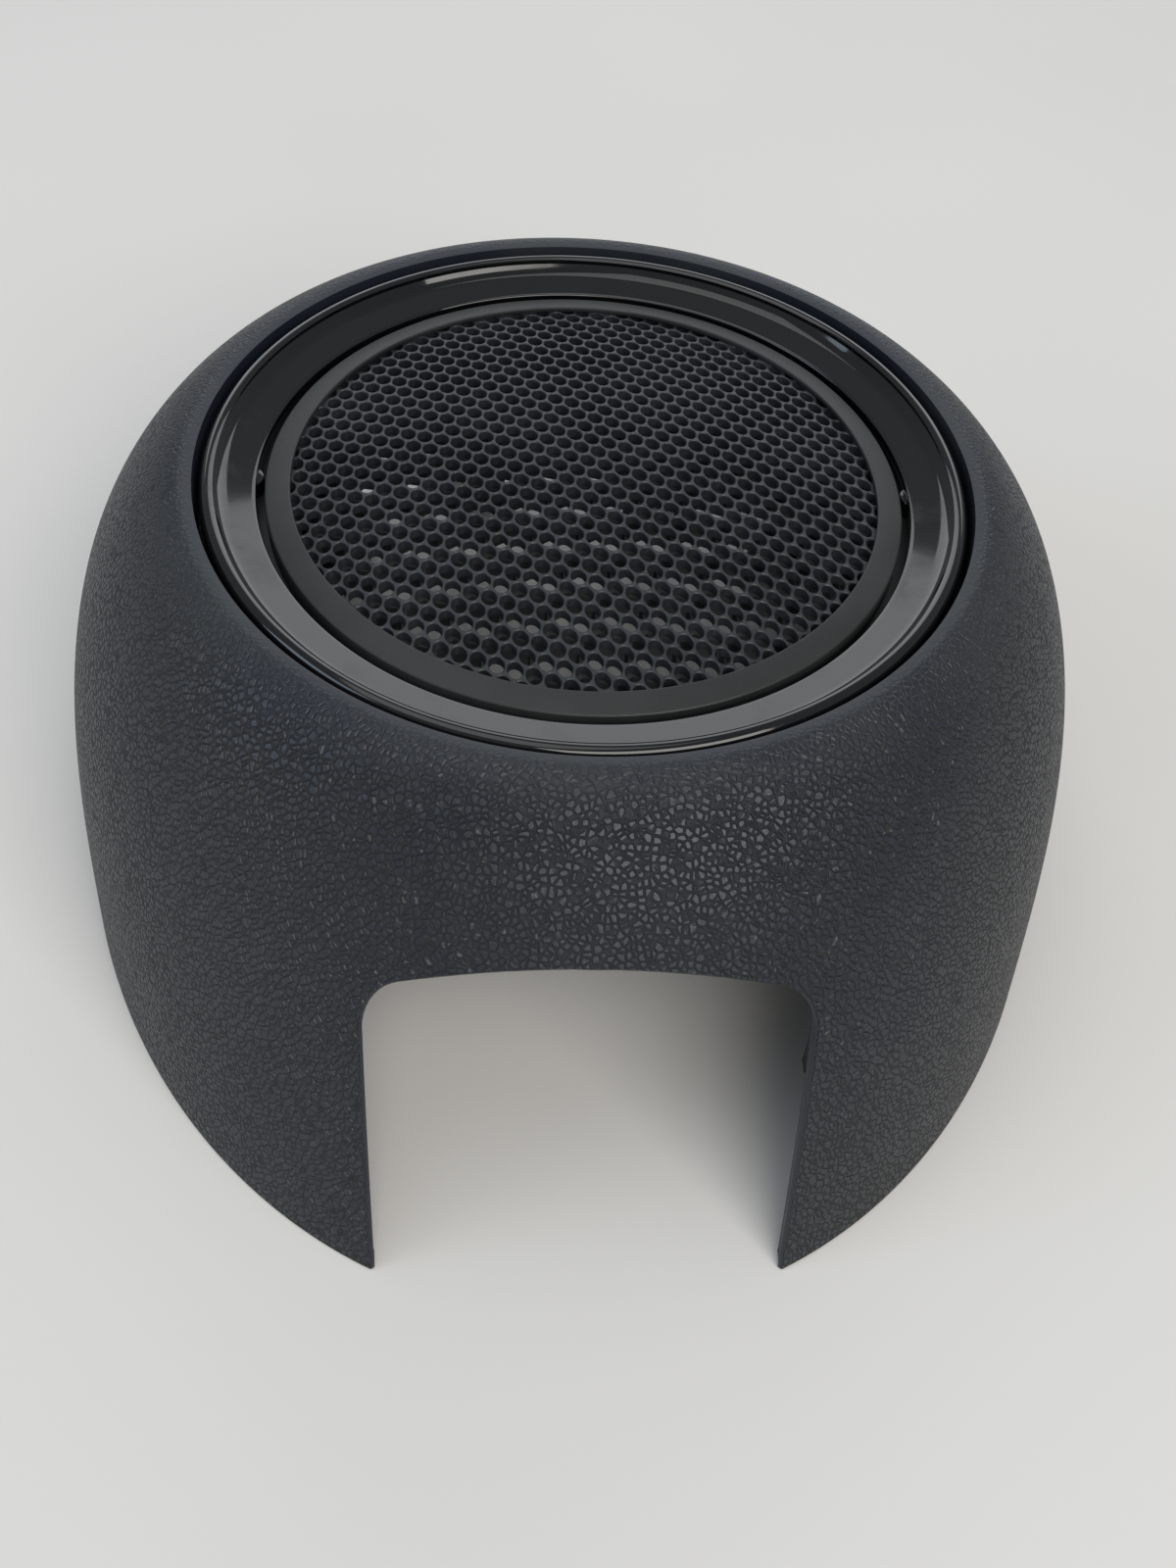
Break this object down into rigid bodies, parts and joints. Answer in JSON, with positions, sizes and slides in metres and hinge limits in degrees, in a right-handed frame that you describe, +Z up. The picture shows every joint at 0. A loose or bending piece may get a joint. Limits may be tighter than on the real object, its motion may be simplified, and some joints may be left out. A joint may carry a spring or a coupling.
{
  "type": "car tweeter housing",
  "caption": "Dashboard tweeter housing: a grained, rounded shell with a front notch, a gloss trim ring and a domed perforated grille.",
  "frame": {"origin": "middle of the bounding box at the rim plane the housing rests on", "axes": "+Z up along the grille's axis, the front notch faces -Y, +X to the right seen from the front"},
  "size_m": [0.132, 0.1434, 0.0531],
  "materials": {
    "shell_grain": "leather-grained soft-touch moulding, satin",
    "gloss_black": "piano black, high gloss",
    "satin_black": "fine matte texture",
    "grille_black": "smooth satin",
    "spring_steel": "zinc plated",
    "brass": "machined, knurled",
    "foam_black": "closed-cell foam",
    "felt_black": "needled felt tape"
  },
  "bodies": {
    "root": {"housing_shell": "shell_grain", "trim_ring": "gloss_black", "ring_gasket": "foam_black", "ring_push_nuts": "spring_steel", "grille_bezel": "satin_black", "grille_plate": "grille_black", "plate_gasket": "foam_black", "grille_carrier": "satin_black", "carrier_screws": "spring_steel", "tower_inserts": "brass", "tower_washers": "foam_black", "leg_clips": "spring_steel", "rear_clips": "spring_steel", "rim_felt_left": "felt_black", "rim_felt_right": "felt_black"}
  },
  "joints": []
}
